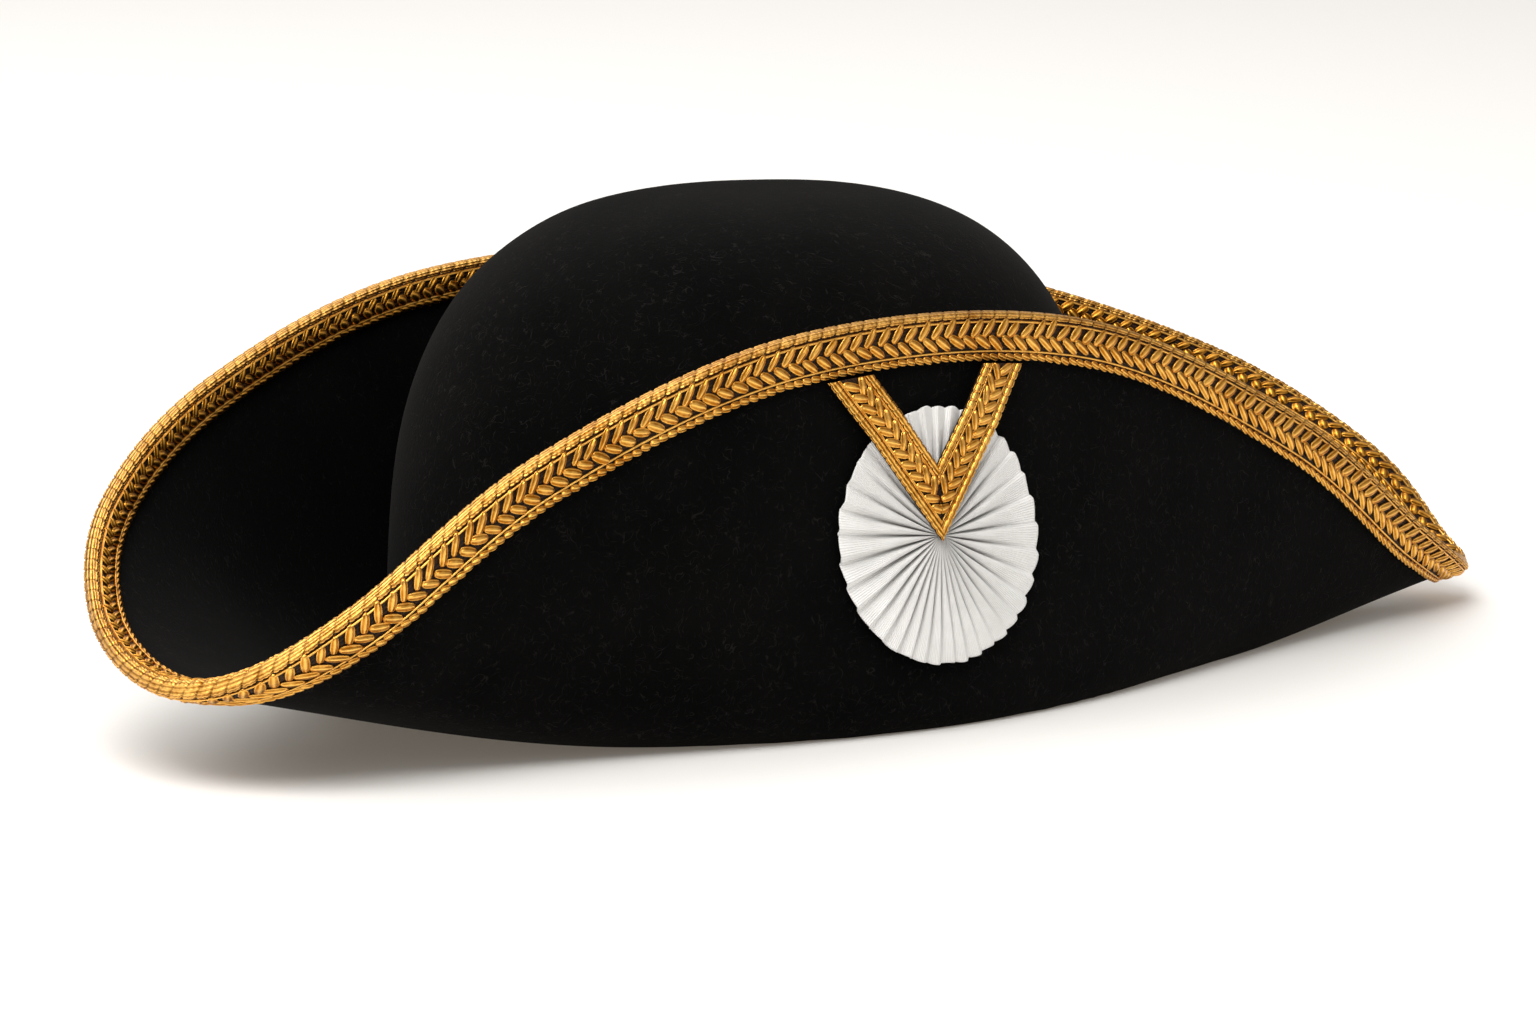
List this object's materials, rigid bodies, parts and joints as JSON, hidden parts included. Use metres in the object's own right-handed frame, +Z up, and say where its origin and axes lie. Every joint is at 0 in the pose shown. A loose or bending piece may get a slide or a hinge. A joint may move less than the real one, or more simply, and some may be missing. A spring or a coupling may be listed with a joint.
{
  "type": "bicorne hat",
  "caption": "Black felt hat with a round crown, brim turned up at the front and the back, gold braid along the edge and a pleated white cockade held by a V of braid.",
  "frame": {"origin": "centre of the bounding box in plan, on the floor that the hat rests on", "axes": "+Z up, X along the hat's length from corner to corner, the flap with the cockade faces -Y"},
  "size_m": [0.4356, 0.1988, 0.1291],
  "materials": {
    "black_felt": "matte short-napped felt",
    "gold_braid": "metallic thread, semi-gloss",
    "white_ribbon": "matte ribbed ribbon"
  },
  "bodies": {
    "root": {"felt_body": "black_felt", "edge_braid": "gold_braid", "cockade": "white_ribbon", "cockade_loop": "gold_braid"}
  },
  "joints": []
}
